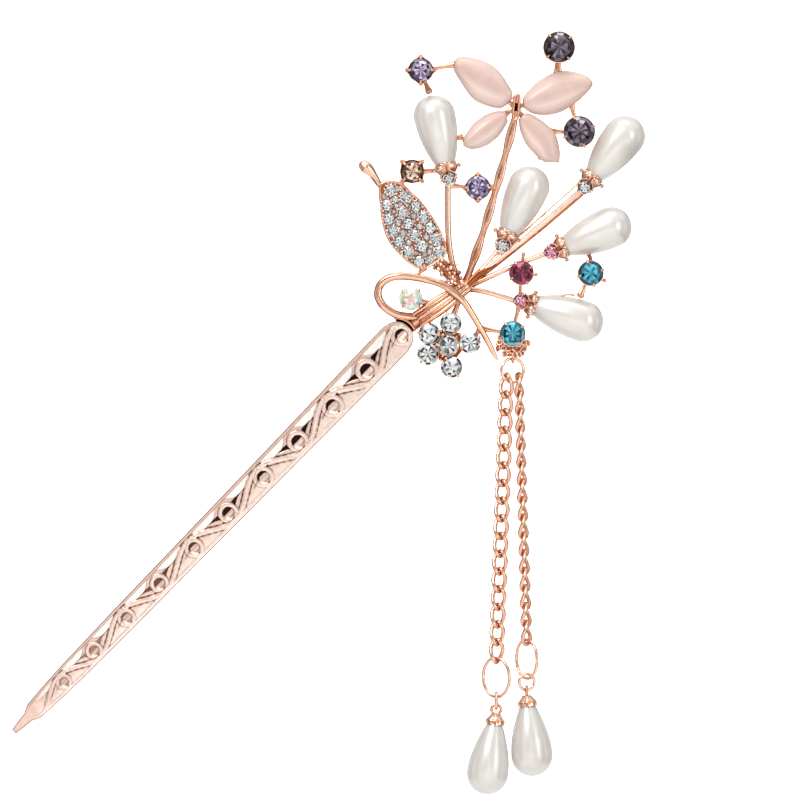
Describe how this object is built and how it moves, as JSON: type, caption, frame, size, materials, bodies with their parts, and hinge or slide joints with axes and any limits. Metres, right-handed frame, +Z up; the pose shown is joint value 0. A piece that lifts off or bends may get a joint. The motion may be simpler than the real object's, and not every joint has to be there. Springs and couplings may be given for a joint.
{
  "type": "buyao hairpin",
  "caption": "Hair stick with a spray of pearl buds, cut stones, a leaf, a flower and a butterfly, and hanging chains that end in pearl drops.",
  "frame": {"origin": "on the stick's middle line, where the hair grips it, 67.6 mm from its point", "axes": "+Z up, as the pin is seen standing with its chains hanging plumb; +X to the viewer's right, towards the spray; -Y out of the decorated face, towards the viewer. The stick leans 45.8 degrees from the level."},
  "size_m": [0.1265, 0.0092, 0.1523],
  "materials": {
    "rose_gold": "rose gold plating, polished",
    "pearl": "pearl lacquer, glossy",
    "cats_eye_shell": "pale pink, polished, with a soft band of light",
    "clear_crystal": "clear, foiled back, faceted",
    "pink_crystal": "pink, foiled back, faceted",
    "violet_crystal": "violet, foiled back, faceted",
    "dark_crystal": "dark grey violet, foiled back, faceted",
    "brown_crystal": "brown, foiled back, faceted",
    "magenta_crystal": "magenta, foiled back, faceted",
    "aqua_crystal": "aqua blue, foiled back, faceted",
    "aurora_crystal": "pale with an iridescent coat, faceted"
  },
  "bodies": {
    "hairpin": {"stick": "rose_gold", "head_frame": "rose_gold", "leaf_stones": "clear_crystal", "aurora_stone": "aurora_crystal", "flower_stone_centre": "clear_crystal", "flower_petal_1": "clear_crystal", "flower_petal_2": "clear_crystal", "flower_petal_3": "clear_crystal", "flower_petal_4": "clear_crystal", "flower_petal_5": "clear_crystal", "violet_stone_1": "violet_crystal", "violet_stone_2": "violet_crystal", "dark_stone_1": "dark_crystal", "dark_stone_2": "dark_crystal", "brown_stone": "brown_crystal", "magenta_stone": "magenta_crystal", "blue_stone_1": "aqua_crystal", "blue_stone_2": "aqua_crystal", "bud_stone_1": "clear_crystal", "bud_stone_2": "clear_crystal", "bud_stone_3": "pink_crystal", "bud_stone_4": "pink_crystal", "bud_stone_5": "clear_crystal", "bud_pearl_1": "pearl", "bud_pearl_2": "pearl", "bud_pearl_3": "pearl", "bud_pearl_4": "pearl", "bud_pearl_5": "pearl", "wing_upper_left": "cats_eye_shell", "wing_upper_right": "cats_eye_shell", "wing_lower_left": "cats_eye_shell", "wing_lower_right": "cats_eye_shell", "hanger_ring": "rose_gold", "chain_left": "rose_gold", "chain_right": "rose_gold", "oval_ring_left": "rose_gold", "oval_ring_right": "rose_gold", "small_ring_right": "rose_gold"},
    "left_drop": {"small_ring_left": "rose_gold", "drop_cap_left": "rose_gold", "drop_pearl_left": "pearl"},
    "right_drop": {"drop_cap_right": "rose_gold", "drop_pearl_right": "pearl"}
  },
  "joints": [
    {"name": "left_drop_swing", "type": "hinge", "parent": "hairpin", "child": "left_drop", "pos_m": [0.04923, -0.00048, -0.04155], "axis": [1, 0, 0], "range_deg": [-60, 60]},
    {"name": "right_drop_swing", "type": "hinge", "parent": "hairpin", "child": "right_drop", "pos_m": [0.05536, 0.00049, -0.04026], "axis": [1, 0, 0], "range_deg": [-60, 60]}
  ]
}
